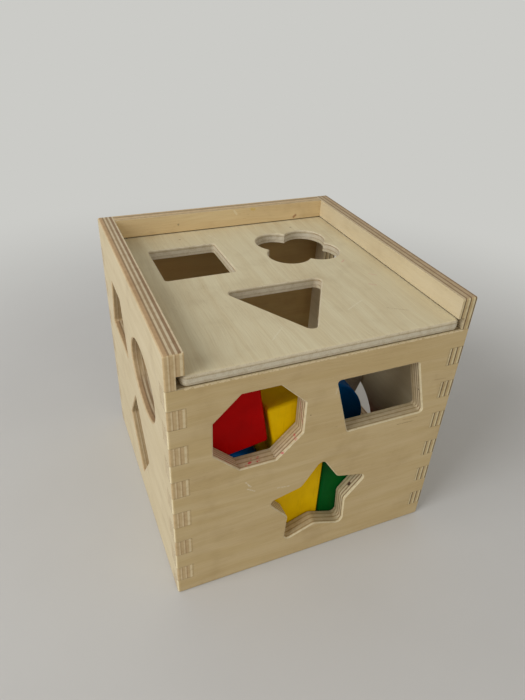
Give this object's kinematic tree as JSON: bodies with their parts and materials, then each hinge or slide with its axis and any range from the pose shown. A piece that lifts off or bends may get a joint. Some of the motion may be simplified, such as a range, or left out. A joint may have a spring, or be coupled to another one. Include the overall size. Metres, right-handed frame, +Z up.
{
  "type": "shape sorter",
  "caption": "Finger-jointed plywood cube with shaped holes in three sides and its sliding lid, holding painted wooden blocks that match the holes.",
  "frame": {"origin": "middle of the underside, on the surface that the box stands on", "axes": "+X to the right along the front wall, +Y to the back wall, +Z up; the lid slides out along -Y"},
  "size_m": [0.14, 0.14, 0.14],
  "materials": {
    "plywood": "bare birch plywood, sanded, pale satin faces and striped edges",
    "lid_plywood": "bare thin plywood, sanded, slightly greyed by handling",
    "red_paint": "red gloss paint on wood",
    "yellow_paint": "yellow gloss paint on wood",
    "green_paint": "green gloss paint on wood",
    "blue_paint": "dark blue gloss paint on wood",
    "bare_block": "bare pale wood, sanded smooth"
  },
  "bodies": {
    "case": {"front_wall": "plywood", "back_wall": "plywood", "left_wall": "plywood", "right_wall": "plywood", "floor_panel": "plywood"},
    "lid": {"lid": "lid_plywood"},
    "quatrefoil_block": {"quatrefoil_block": "green_paint"},
    "circle_block": {"circle_block": "blue_paint"},
    "square_block": {"square_block": "red_paint"},
    "rectangle_block": {"rectangle_block": "yellow_paint"},
    "half_round_block": {"half_round_block": "green_paint"},
    "oval_block": {"oval_block": "blue_paint"},
    "octagon_block": {"octagon_block": "bare_block"},
    "trapezoid_block": {"trapezoid_block": "yellow_paint"},
    "triangle_block": {"triangle_block": "red_paint"},
    "parallelogram_block": {"parallelogram_block": "red_paint"},
    "star_block": {"star_block": "yellow_paint"},
    "rhombus_block": {"rhombus_block": "green_paint"}
  },
  "joints": [
    {"name": "lid_slide", "type": "slide", "parent": "case", "child": "lid", "axis": [0, -1, 0], "range_m": [0, 0.14]},
    {"name": "quatrefoil_lift", "type": "slide", "parent": "case", "child": "quatrefoil_block", "axis": [0, 0, 1], "range_m": [0, 0.0035]},
    {"name": "circle_lift", "type": "slide", "parent": "quatrefoil_block", "child": "circle_block", "axis": [0, 0, 1], "range_m": [0, 0.0035]},
    {"name": "square_lift", "type": "slide", "parent": "circle_block", "child": "square_block", "axis": [0, 0, 1], "range_m": [0, 0.004]},
    {"name": "rectangle_lift", "type": "slide", "parent": "case", "child": "rectangle_block", "axis": [0, 0, 1], "range_m": [0, 0.008]},
    {"name": "half_round_lift", "type": "slide", "parent": "case", "child": "half_round_block", "axis": [0, 0, 1], "range_m": [0, 0.062]},
    {"name": "oval_lift", "type": "slide", "parent": "parallelogram_block", "child": "oval_block", "axis": [0, 0, 1], "range_m": [0, 0.026]},
    {"name": "octagon_lift", "type": "slide", "parent": "rhombus_block", "child": "octagon_block", "axis": [0, 0, 1], "range_m": [0, 0.028]},
    {"name": "trapezoid_lift", "type": "slide", "parent": "rectangle_block", "child": "trapezoid_block", "axis": [0, 0, 1], "range_m": [0, 0.013]},
    {"name": "triangle_lift", "type": "slide", "parent": "star_block", "child": "triangle_block", "axis": [0, 0, 1], "range_m": [0, 0.034]},
    {"name": "parallelogram_lift", "type": "slide", "parent": "case", "child": "parallelogram_block", "axis": [0, 0, 1], "range_m": [0, 0.016]},
    {"name": "star_lift", "type": "slide", "parent": "case", "child": "star_block", "axis": [0, 0, 1], "range_m": [0, 0.03]},
    {"name": "rhombus_lift", "type": "slide", "parent": "case", "child": "rhombus_block", "axis": [0, 0, 1], "range_m": [0, 0.016]}
  ]
}
